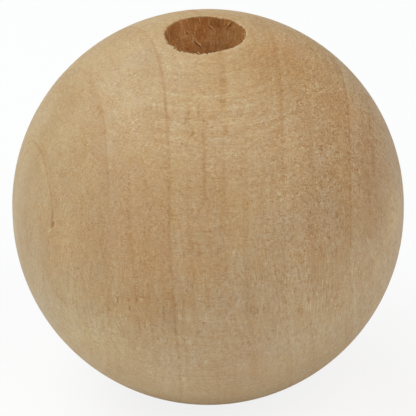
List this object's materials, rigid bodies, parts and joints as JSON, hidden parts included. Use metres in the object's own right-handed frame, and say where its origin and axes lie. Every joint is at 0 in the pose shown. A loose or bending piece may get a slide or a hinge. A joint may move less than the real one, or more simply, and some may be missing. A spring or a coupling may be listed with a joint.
{
  "type": "wooden ball",
  "caption": "Turned wooden ball with a round bore drilled right through it and eased mouths, to thread on a cord or fit on a dowel.",
  "frame": {"origin": "middle of the ball, on the axis of its bore", "axes": "+Z along the bore, up through the mouth that faces up; the ball stands on the rim of the lower mouth"},
  "size_m": [0.03, 0.03, 0.0298],
  "materials": {
    "bare_wood": "sanded and unsealed, matte"
  },
  "bodies": {
    "root": {"ball": "bare_wood"}
  },
  "joints": []
}
